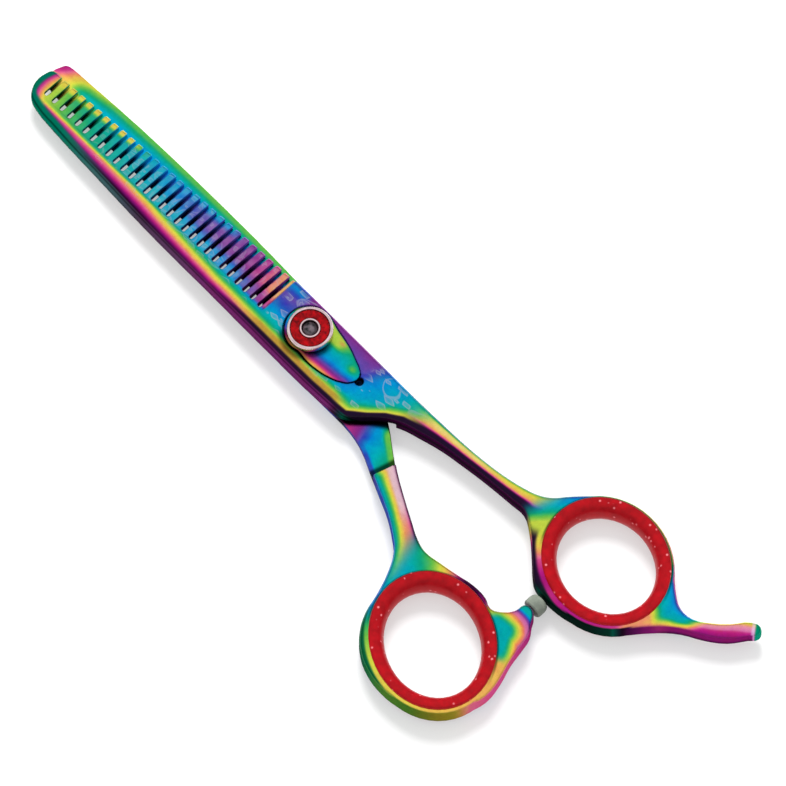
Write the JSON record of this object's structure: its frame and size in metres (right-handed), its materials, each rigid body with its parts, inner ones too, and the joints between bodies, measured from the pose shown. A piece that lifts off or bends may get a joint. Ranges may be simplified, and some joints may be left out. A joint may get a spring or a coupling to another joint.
{
  "type": "thinning shears",
  "caption": "Hairdressing thinning shears: a comb blade and a straight blade on one tension-knob pivot, with oval finger rings, a finger rest and a soft stop.",
  "frame": {"origin": "on the pivot axis, in the back face of the bolt's head, which is the plane the closed shears rest on", "axes": "+X from the pivot towards the finger rings, +Y towards the cutting blade's spine, +Z out of the tension knob's face"},
  "size_m": [0.1682, 0.0578, 0.0077],
  "materials": {
    "rainbow_steel": "polished steel with an iridescent coating that runs from blue and teal to yellow, pink and purple",
    "red_plastic": "glossy translucent red with fine silver glitter",
    "silicone": "soft grey-green silicone, satin",
    "black_steel": "black oxide, semi-gloss",
    "nylon": "natural nylon, matte",
    "spring_steel": "plain spring steel",
    "bright_steel": "bright polished",
    "red_anodised": "deep red anodised"
  },
  "bodies": {
    "comb_half": {"comb_blade": "rainbow_steel", "finger_ring_insert": "red_plastic", "leaf_spring": "rainbow_steel", "pivot_bush": "nylon", "ride_washer": "nylon", "thrust_washer": "spring_steel"},
    "cutting_half": {"cutting_blade": "rainbow_steel", "thumb_ring_insert": "red_plastic", "stop_bumper": "silicone", "pivot_bolt": "black_steel"},
    "click": {"click_washer": "spring_steel"},
    "knob": {"tension_knob": "bright_steel", "knob_inlay": "red_anodised"}
  },
  "joints": [
    {"name": "blade_pivot", "type": "hinge", "parent": "comb_half", "child": "cutting_half", "pos_m": [0, 0, 0.003], "axis": [0, 0, -1], "range_deg": [0, 100]},
    {"name": "knob_travel", "type": "slide", "parent": "cutting_half", "child": "click", "axis": [0, 0, 1], "range_m": [-0.000125, 0.0005]},
    {"name": "knob_turn", "type": "hinge", "parent": "click", "child": "knob", "pos_m": [0, 0, 0.0067], "axis": [0, 0, 1], "range_deg": [-90, 360]}
  ],
  "couplings": [
    {"joint": "knob_turn", "follows": "knob_travel", "rad_per_m": 12566}
  ]
}
